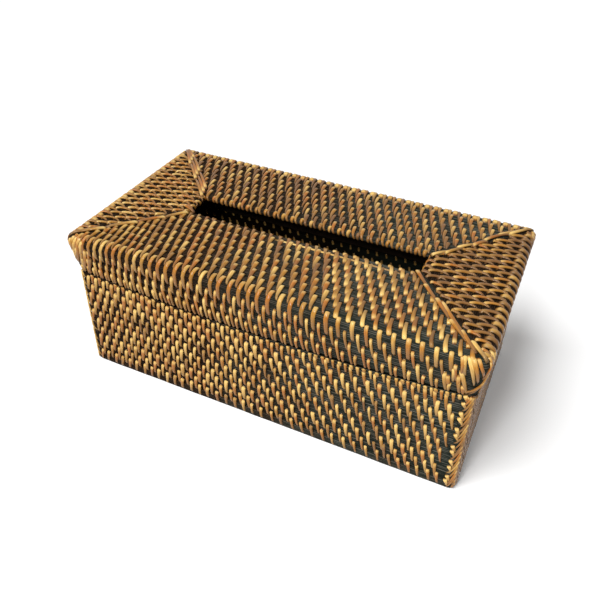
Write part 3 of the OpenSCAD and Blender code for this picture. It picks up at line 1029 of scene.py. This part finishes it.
def skirt_strands(side, rng):
    """Stitches that start on the rounded edge, one to a course, and run down the skirt to the seam."""
    strands = Strands()
    low, high = -across(side) + 7.0, across(side) - (11.0 if side == 0 else 8.0)
    places = course_places(side, LID_PITCHES, 1.0)
    for number, (share, start, stop, width) in enumerate(SKIRT_STITCHES):
        first = number == 0
        for place, following in zip(places[:-1], places[1:]):
            u = place + 2.4 + share * (following - place)
            if not low < u < high:
                continue
            style = stitch_style(side, u)
            lean_here, early, slim = 1.0, 4.0, 1.0
            if side == 0:
                tables = (SKIRT_LEANS[number], SKIRT_EARLY, SKIRT_SHARES)
                lean_here, early, slim = (float(np.interp(u, *table)) for table in tables)
            broad = 1.25 if side and first else 1
            # The right face takes dusky tones, as painted shade
            tones = (-0.1, 0.2) if side == 1 else (0.38, 0.66) if first and u > 30 else (0.1, 0.95)
            strands.add(
                u=u + rng.normal(0, 0.2), v0=start - early * first + rng.normal(0, 0.3),
                v1=stop + (stop < 30) * rng.normal(0, 0.4), lean=lean_here + rng.normal(0, 0.25),
                bow=(0.3 if first else 1.0) * style["bow"] + rng.normal(0, 0.12),
                width=slim * width * style["width"] * broad + rng.normal(0, 0.12), tone=rng.uniform(*tones),
                roll=rng.normal(0, 0.2), lift=-abs(rng.normal(0, 0.07)), dip=0.0, tail=0.3 if stop > 30 else 1.2,
                tail_at=0.84, narrow=0.8 if first else 0.66)
    return strands


def weave_corner(corner, top, bottom, body, seed):
    """Round bundle of fibre at one upright corner, in rows like those of the walls beside it."""
    node = f"{body}_corner_post_{CORNERS[corner]}"
    lid = body == "lid"
    ground = sizes().strand_thickness / MM * 0.7
    rows = SKIRT_ROWS if lid else BASE_ROWS
    fibres = rows * 6
    share = (np.arange(fibres * 2 + 1)) / (fibres * 2)
    height = bottom + 0.2 + share * (top - bottom - (0 if lid else 0.4))
    bulge = np.abs(2 * ((share * rows) % 1) - 1) ** 2.4
    ridge = np.where(np.arange(len(share)) % 2, 0.0, -1.0) * sizes().fibre_relief / MM
    size = POST_RADIUS - ground + ridge - 0.6 * bulge * sizes().groove_depth / MM
    if lid:
        rise = np.radians(np.linspace(0, 88, 12))[1:]
        height = np.concatenate([height, BALL_HEIGHT + (POST_RADIUS - ground) * np.sin(rise)])
        size = np.concatenate([size, (POST_RADIUS - ground) * np.cos(rise)])
    post, around, along = closed_tube(f"fibre_{node}", 24, len(height))
    z, radius = height[along], size[along]
    turn = around / 24 * 2 * math.pi
    inset = lean(np.minimum(z, BALL_HEIGHT if lid else z)) + POST_RADIUS
    points = np.stack([across(corner) - inset + radius * np.cos(turn),
                       inset - reach(corner) + radius * np.sin(turn), z], -1)
    post.data.vertices.foreach_set("co", (turned(points, corner) * MM).ravel())
    tones = np.random.default_rng(seed).uniform(0, 1, len(height) // 2 + 1)
    set_weave(post.data, np.stack([turn * POST_RADIUS, z, tones[along // 2]], -1))
    set_share(post.data, "ridge", (along % 2 == 0) * 1.0)
    finish_piece(post, body, dark_fibre(), [node])


def base_braid(corner, rng):
    """Strands that start at a corner of the base and sweep down onto both faces."""
    strands = Strands()
    thin = corner == 3
    pitch, width, drop, out, arch = (7.6, 1.1, 10.0, 6.0, 1.45) if thin else (4.25, 1.85, 14.5, 5.4, 1.1)
    for row in range(-2, round(BASE_TOP / pitch)):
        for hand in (-1, 1):
            v0 = (row + (0.5 if hand > 0 else 0)) * pitch - 2
            # Strands onto the second face of each corner take dusky tones, as painted shade meant for the right face
            tones, head_tones = ((-0.4, 0.12), (-0.3, 0.1)) if hand > 0 else ((0.0, 0.72), (0.55, 0.8))
            strands.add(
                u=-hand * 0.4 + rng.normal(0, 0.15), v0=v0 + rng.normal(0, 0.25), v1=v0 + drop + rng.normal(0, 0.5),
                lean=hand * (out + rng.normal(0, 0.4)), bow=-hand * (arch + rng.normal(0, 0.15)),
                width=width + rng.normal(0, 0.1), tone=0.69 if thin else rng.uniform(*tones), roll=hand * 0.2,
                thick=0.9, head=0.5, tail=0.85, narrow=0.45, sink=0.12, dip=0)
            if not thin and row % 3 != 1:
                strands.add(
                    u=hand * (5.6 + rng.normal(0, 0.3)), v0=v0 + 6.5 + rng.normal(0, 0.5), v1=v0 + 12.5,
                    lean=-hand * (2.6 + rng.normal(0, 0.3)), width=2.4, tone=rng.uniform(*head_tones), thick=0.9,
                    head=0.9, tail=1.1, narrow=0.5, sink=0.5, lift=-0.05)
    return strands


def weave_base_corner(corner):
    """Fibre post and herringbone of strands at one upright corner of the base."""
    weave_corner(corner, BASE_TOP, 0.0, "base", 300 + corner)
    surface = CornerSurface(corner, BASE_TOP)

    def limit(u, v):
        return np.minimum(v - 0.2, BASE_TOP - 0.3 - v)

    base_braid(corner, np.random.default_rng(310 + corner)).clipped(limit).lay(
        f"braid_base_{CORNERS[corner]}", surface, "base", rattan_peel(), seed=320 + corner)


# Strands round a corner of the lid: start and end round the corner and down it, bow and width
LID_CORNER_STRANDS = (
    (-11.2, -6.6, -3.6, 13.5, 0.3, 2.2), (-8.6, -6.6, -1.6, 11.0, 0.3, 2.3), (-12.4, 4.6, -5.0, 21.6, 0.2, 2.4),
    (-15.6, 4.4, -13.4, 15.0, 0.1, 2.0), (-14.0, -5.5, -11.0, 9.0, 0.3, 2.1), (-6.4, -6.8, 0.2, 6.0, 0.3, 2.1),
    (-17.0, 11.0, -13.6, 22.0, -0.3, 2.1), (-11.0, 12.5, -8.6, 22.2, -0.1, 1.9),
    (6.2, -6.8, 1.2, 8.0, 0.4, 2.2), (8.6, -6.8, 1.4, 12.0, 0.4, 2.2), (11.0, -6.8, 2.2, 15.5, 0.5, 2.1),
    (13.2, -5.0, 3.6, 19.0, 0.4, 2.1), (13.6, 2.0, 4.6, 22.2, 0.4, 2.0), (4.2, 3.0, -4.4, 21.2, 1.4, 1.6),
    (2.4, 9.6, -8.8, 22.3, 1.8, 1.4), (14.4, 8.5, 8.0, 22.2, 0.3, 1.9), (3.6, -4.6, 0.4, 9.0, 0.2, 2.0),
)


def weave_lid_corner(corner):
    """Fibre post and fanned strands at one corner of the lid."""
    weave_corner(corner, BALL_HEIGHT, LID_BOTTOM, "lid", 330 + corner)
    rng = np.random.default_rng(340 + corner)
    strands = Strands()
    foot = BALL_HEIGHT - LID_BOTTOM
    for q0, v0, q1, v1, bow, width in LID_CORNER_STRANDS:
        strands.add(
            u=q0 + rng.normal(0, 0.15), v0=v0, v1=min(v1, foot - 0.2), lean=q1 - q0 + rng.normal(0, 0.2), bow=bow,
            width=width + rng.normal(0, 0.1), tone=rng.uniform(0, 1), roll=rng.normal(0, 0.15), thick=1.0,
            head=0.7, tail=0.7, narrow=0.7, sink=0.1, dip=0, lift=-abs(rng.normal(0, 0.1)))
    strands.lay(f"braid_lid_{CORNERS[corner]}", CornerSurface(corner, BALL_HEIGHT), "lid", rattan_peel(),
                seed=350 + corner)


# Strands over each mitre: start and stop along it, place across, bow, width and drift across
MITRE_STRANDS = {
    0: [(74, 58, 1.0, 0.3, 2.4, 0.9), (61, 46, 2.3, 0.3, 2.5, 0.7), (48, 30, 1.7, 0.4, 2.5, 1.2),
        (45, 10, 0.2, 0.7, 2.4, 2.0), (21, 3, 1.4, 0.3, 2.4, 0.8), (12, -3.3, 0.3, 0.2, 2.5, -0.5),
        (30, 12, 3.0, 0.2, 2.0, -0.4)],
    1: [(72, 58, 1.6, -0.6, 2.2, 1.2), (64, 50, 3.2, -0.6, 2.2, -0.6), (54, 40, 1.2, -1.0, 2.4, 1.4),
        (44, 32, 2.6, -0.6, 2.8, -0.8), (35, 14, 0.8, -1.4, 2.2, -0.6), (24, 8, -0.8, -0.6, 2.0, 0.4),
        (16, -3.2, 0.4, -0.5, 2.2, 0.0)],
    2: [(72 - 5 * k - 25 * j, 46 - 5 * k - 25 * j, 2.1 * k - 2.1, 0.3, 2.3, 0.2) for k in range(3) for j in range(2)]
       + [(24 - 5 * k, -2.5, 2.1 * k - 2.1, 0.3, 2.3, 1.4 - 1.4 * k) for k in range(3)],
    3: [(71, 54, -2.7, 0.3, 2.5, -0.4), (56.5, 37, -3.2, 0.3, 2.7, 1.9), (39, 18, -2.5, 0.3, 2.6, 2.0),
        (19.5, -3.3, -2.1, 0.4, 2.6, 2.6), (70.6, 74.2, 7.0, 0.6, 2.3, -10.8)],
}


def weave_mitre(corner):
    """Low bar of fibre under one mitre, and the strands that close it."""
    node = f"lid_mitre_rib_{CORNERS[corner]}"
    surface = MitreSurface(corner)
    width, depth = 6.4, LID_WALL
    ground = TOP - PANEL_TOP + sizes().strand_thickness / MM * 0.95
    side_share = np.linspace(-1, 1, 17)
    ridge = np.where(np.arange(17) % 2, 0.0, -1.0) * sizes().fibre_relief / MM
    v = np.concatenate([side_share * width / 2, [width / 2, -width / 2]])
    h = np.concatenate([-ground + ridge - 0.5 * np.abs(side_share) ** 3, [-depth + 0.4] * 2])
    bar, around, along = closed_tube(f"fibre_{node}", len(v), 16)
    u = 1.0 + along / 15 * (surface.length - 1.5)
    rng = np.random.default_rng(360 + corner)
    points = surface(u, v[around], h[around])
    bar.data.vertices.foreach_set("co", (points * MM).ravel())
    set_weave(bar.data, np.stack([u, v[around], rng.uniform(0, 1, len(v))[around]], -1))
    set_share(bar.data, "ridge", (around % 2 == 0) * 1.0)
    finish_piece(bar, "lid", dark_fibre(), [node])

    strands = Strands()
    tones = (0.84, 0.97) if corner == 2 else (0.3, 0.95)
    for start, stop, place, bow, width, drift in MITRE_STRANDS[corner]:
        strands.add(u=place, v0=start, v1=stop, lean=drift + rng.normal(0, 0.15), bow=bow, width=width, thick=1.15,
                    head=0.9, tail=0.9, narrow=0.75, sink=0.1, dip=0, tone=rng.uniform(*tones),
                    roll=rng.normal(0, 0.2))
    strands.lay(f"strands_{node}", lambda u, v, h: surface(v, u, h), "lid", rattan_peel(), seed=370 + corner)


def weave_floor():
    """Floor of straight rows, bound through from both faces."""
    low, high = node_box("base_floor")
    rows = max(3, round((high[1] - low[1]) / 6.7))
    grooves = np.linspace(0, high[1] - low[1], rows + 1)
    above = Profile(0, HALF_WIDTH + np.array([high[1], low[1]]), [high[2]] * 2, 0)
    outline = outline_of_rows(above, grooves, high[2] - low[2], (0.6, 0.6))
    bundle("fibre_base_floor", 0, outline, lambda d, z: np.full_like(d, high[0]), 30, "base", ["base_floor"], 400)
    below = Profile(0, HALF_WIDTH + np.array([low[1], high[1]]), [low[2]] * 2, 0)
    rng = np.random.default_rng(401)
    for name, surface in (("top", above), ("underside", below)):
        inside_stitches(grooves, (low[0] + 6, high[0] - 6), rng, 9.5, 2.0).lay(
            f"stitches_floor_{name}", surface, "base", rattan_peel(), seed=402, plain=True)


# Pitch of the stitches along the faces inside
INSIDE_PITCH = 6.9


def inside_stitches(grooves, span, rng, length, width):
    """Short ends of the strands on a face inside, one over each groove, every other row half a pitch along."""
    strands = Strands()
    for row, groove in enumerate(grooves[1:-1]):
        for u in np.arange(span[0], span[1], INSIDE_PITCH) + (row % 2) * INSIDE_PITCH / 2:
            strands.add(u=u + rng.normal(0, 0.2), v0=groove - length / 2, v1=groove + length / 2,
                        lean=0.8 + rng.normal(0, 0.2), width=width + rng.normal(0, 0.1), thick=0.9,
                        tone=rng.uniform(0.6, 0.8), head=0.8, tail=0.8, dip=0, narrow=0.9, sink=0)
    return strands


def weave_inside(side):
    """Strands that show on the inner faces of base and lid."""
    name = SIDES[side]
    rng = np.random.default_rng(420 + side)
    inner = Profile(side, [lean(0.0) + BASE_WALL, lean(BASE_TOP) + BASE_WALL], [0, BASE_TOP], 0)
    rows = np.linspace(0, inner.v[-1], BASE_ROWS + 1)
    span = (-across(side) + 13, across(side) - 16)
    inside_stitches(rows[1:], span, rng, 4.2, 1.8).lay(
        f"stitches_base_inside_{name}", inner, "base", rattan_peel(), seed=430 + side, plain=True)
    under = PANEL_TOP - LID_WALL
    low, high = lean(LID_BOTTOM) + LID_WALL, lean(SKIRT_TOP) + LID_WALL
    skirt = Profile(side, [low, high], [LID_BOTTOM, SKIRT_TOP], 0)
    rows = np.linspace(0, skirt.v[-1], SKIRT_ROWS + 1)
    inside_stitches(rows, span, rng, 4.2, 1.8).lay(
        f"stitches_lid_inside_{name}", skirt, "lid", rattan_peel(), seed=440 + side, plain=True)
    start, stop = ROW_START, reach(side) - slot_axis(side) - SLOT_ROD_RADIUS / 2
    roof = Profile(side, [start, stop], [under] * 2, 0)
    rows = np.linspace(0, stop - start, TOP_ROWS[side % 2] + 1)
    slope = mitre_slope(side)

    def limit(u, v):
        return across(side) - POST_RADIUS - (start + v - POST_RADIUS) * slope - 5.0 - np.abs(u)

    inside_stitches(rows[1:], (-across(side), across(side)), rng, 4.6, 1.8).clipped(limit).lay(
        f"stitches_roof_{name}", roof, "lid", rattan_peel(), seed=450 + side, plain=True)


# Operators


class WEAVE_OT_base_walls(bpy.types.Operator):
    """Weave the four walls of the base"""
    bl_idname = "weave.base_walls"
    bl_label = "Base Walls"

    def execute(self, context):
        for side in range(4):
            weave_base(side)
        return {"FINISHED"}


class WEAVE_OT_lid_fields(bpy.types.Operator):
    """Weave the top and the skirt of the lid"""
    bl_idname = "weave.lid_fields"
    bl_label = "Lid Fields"

    def execute(self, context):
        for side in range(4):
            weave_lid(side)
        return {"FINISHED"}


class WEAVE_OT_corners(bpy.types.Operator):
    """Bind the upright corners of base and lid"""
    bl_idname = "weave.corners"
    bl_label = "Corners"

    def execute(self, context):
        for corner in range(4):
            weave_base_corner(corner)
            weave_lid_corner(corner)
        return {"FINISHED"}


class WEAVE_OT_mitres(bpy.types.Operator):
    """Close the four mitres of the lid with long strands"""
    bl_idname = "weave.mitres"
    bl_label = "Mitres"

    def execute(self, context):
        for corner in range(4):
            weave_mitre(corner)
        return {"FINISHED"}


class WEAVE_OT_inside(bpy.types.Operator):
    """Weave the floor and the strands on the faces inside"""
    bl_idname = "weave.inside"
    bl_label = "Floor and Inside"

    def execute(self, context):
        weave_floor()
        for side in range(4):
            weave_inside(side)
        return {"FINISHED"}


class WEAVE_OT_laths(bpy.types.Operator):
    """Give the bare laths and whatever is left of the frame their finish"""
    bl_idname = "weave.laths"
    bl_label = "Laths"

    def execute(self, context):
        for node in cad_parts.values():
            if not node.hide_render:
                node.data.materials.clear()
                node.data.materials.append(stained_lath())
        return {"FINISHED"}


class WEAVE_OT_stage(bpy.types.Operator):
    """Set up the floor, the lights and the camera"""
    bl_idname = "weave.stage"
    bl_label = "Stage"

    def execute(self, context):
        build_stage()
        return {"FINISHED"}


# Lights: direction and spread of the key light, place, aim and size of the small light in front, in metres
KEY_DIRECTION = (-0.42, -0.50, 1.0)
KEY_SPREAD = 34
FRONT_PLACE = (0.06, -0.42, 0.46)
FRONT_AIM = (0.05, -0.04, 0.08)
FRONT_SIZE = 0.09
# Camera: focal length and width of the picture in pixels, place in metres, turn in degrees and shift
FOCAL_PIXELS = 642.6
PICTURE = 600
CAMERA_PLACE = (0.13655, -0.30687, 0.31526)
CAMERA_TURN = {"yaw": -25.01, "pitch": 38.75, "roll": 0.67}
CAMERA_SHIFT = (6.7 / PICTURE, 3.1 / PICTURE)


def seen_directly(tree):
    """Socket that is 1 for what the camera sees, also in a reflection or through glass, and 0 for light."""
    rays = tree.nodes.new("ShaderNodeLightPath")
    seen = arithmetic(tree, "MAXIMUM", rays.outputs["Is Camera Ray"], rays.outputs["Is Glossy Ray"])
    return arithmetic(tree, "MAXIMUM", seen, rays.outputs["Is Transmission Ray"])


def build_stage():
    """Floor, white surround, lights and camera."""
    settings = bpy.context.scene.weave_stage
    deselect_all()
    bpy.ops.mesh.primitive_plane_add(size=8, location=(0, 0, 0))
    floor = bpy.context.object
    floor.name = "floor"
    material, tree = new_material("floor")
    shader = tree.nodes["Principled BSDF"]
    shader.inputs["Base Color"].default_value = (*settings.floor_colour, 1)
    shader.inputs["Roughness"].default_value = 0.9
    glow = add_node(tree, "ShaderNodeEmission", Strength=1.0)
    glow.inputs["Color"].default_value = (*[settings.floor_glow] * 3, 1)
    tree.links.new(seen_directly(tree), glow.inputs["Strength"])
    both = tree.nodes.new("ShaderNodeAddShader")
    tree.links.new(shader.outputs["BSDF"], both.inputs[0])
    tree.links.new(glow.outputs["Emission"], both.inputs[1])
    tree.links.new(both.outputs["Shader"], tree.nodes["Material Output"].inputs["Surface"])
    floor.data.materials.append(material)

    scene = bpy.context.scene
    scene.view_settings.view_transform = "Standard"
    world = bpy.data.worlds.new("studio")
    scene.world = world
    world.use_nodes = True
    background = world.node_tree.nodes["Background"]
    background.inputs["Color"].default_value = (1, 1, 1, 1)
    strength = add_node(world.node_tree, "ShaderNodeMapRange", **{"To Min": settings.fill, "To Max": 1.0})
    world.node_tree.links.new(seen_directly(world.node_tree), strength.inputs["Value"])
    world.node_tree.links.new(strength.outputs["Result"], background.inputs["Strength"])

    sun = bpy.data.lights.new("key", "SUN")
    sun.energy = settings.key_energy
    sun.angle = math.radians(KEY_SPREAD)
    key = bpy.data.objects.new("key", sun)
    scene.collection.objects.link(key)
    key.rotation_euler = Vector(KEY_DIRECTION).to_track_quat("Z", "Y").to_euler()

    lamp = bpy.data.lights.new("front_light", "AREA")
    lamp.energy = settings.front_power
    lamp.size = FRONT_SIZE
    front = bpy.data.objects.new("front_light", lamp)
    scene.collection.objects.link(front)
    front.location = FRONT_PLACE
    front.rotation_euler = (front.location - Vector(FRONT_AIM)).to_track_quat("Z", "Y").to_euler()

    yaw, pitch, roll = (math.radians(CAMERA_TURN[k]) for k in ("yaw", "pitch", "roll"))
    forward = Vector((math.sin(yaw) * math.cos(pitch), math.cos(yaw) * math.cos(pitch), -math.sin(pitch)))
    right = Vector((math.cos(yaw), -math.sin(yaw), 0))
    up = right.cross(forward)
    right, up = (math.cos(roll) * right + math.sin(roll) * up, -math.sin(roll) * right + math.cos(roll) * up)
    camera = bpy.data.objects.new("camera", bpy.data.cameras.new("camera"))
    scene.collection.objects.link(camera)
    camera.data.sensor_width = 36
    camera.data.lens = FOCAL_PIXELS / PICTURE * camera.data.sensor_width
    camera.data.shift_x, camera.data.shift_y = CAMERA_SHIFT
    camera.data.clip_start, camera.data.clip_end = 0.01, 20
    turn = Matrix((right, up, -forward)).transposed()
    camera.matrix_world = Matrix.Translation(CAMERA_PLACE) @ turn.to_4x4()
    scene.camera = camera


class WEAVE_PT_panel(bpy.types.Panel):
    """Shows the settings and the steps that build the tissue box cover"""
    bl_idname = "WEAVE_PT_panel"
    bl_label = "Tissue Box"
    bl_space_type = "VIEW_3D"
    bl_region_type = "UI"
    bl_category = "Tissue Box"

    def draw(self, context):
        for group in (context.scene.weave_sizes, context.scene.weave_colours, context.scene.weave_stage):
            for name in group.__annotations__:
                self.layout.prop(group, name)
        for operator in STEPS:
            self.layout.operator(operator.bl_idname)


STEPS = (WEAVE_OT_base_walls, WEAVE_OT_lid_fields, WEAVE_OT_corners, WEAVE_OT_mitres, WEAVE_OT_inside,
         WEAVE_OT_laths, WEAVE_OT_stage)
CLASSES = (WeaveSizes, WeaveColours, StageSettings, *STEPS, WEAVE_PT_panel)


def register():
    for cls in CLASSES:
        bpy.utils.register_class(cls)
    bpy.types.Scene.weave_sizes = bpy.props.PointerProperty(type=WeaveSizes)
    bpy.types.Scene.weave_colours = bpy.props.PointerProperty(type=WeaveColours)
    bpy.types.Scene.weave_stage = bpy.props.PointerProperty(type=StageSettings)


def unregister():
    for name in ("weave_sizes", "weave_colours", "weave_stage"):
        delattr(bpy.types.Scene, name)
    for cls in reversed(CLASSES):
        bpy.utils.unregister_class(cls)


def main():
    """Builds every piece and the stage in order."""
    register()
    bpy.ops.weave.base_walls()
    bpy.ops.weave.lid_fields()
    bpy.ops.weave.corners()
    bpy.ops.weave.mitres()
    bpy.ops.weave.inside()
    bpy.ops.weave.laths()
    bpy.ops.weave.stage()


if __name__ == "__main__":
    main()
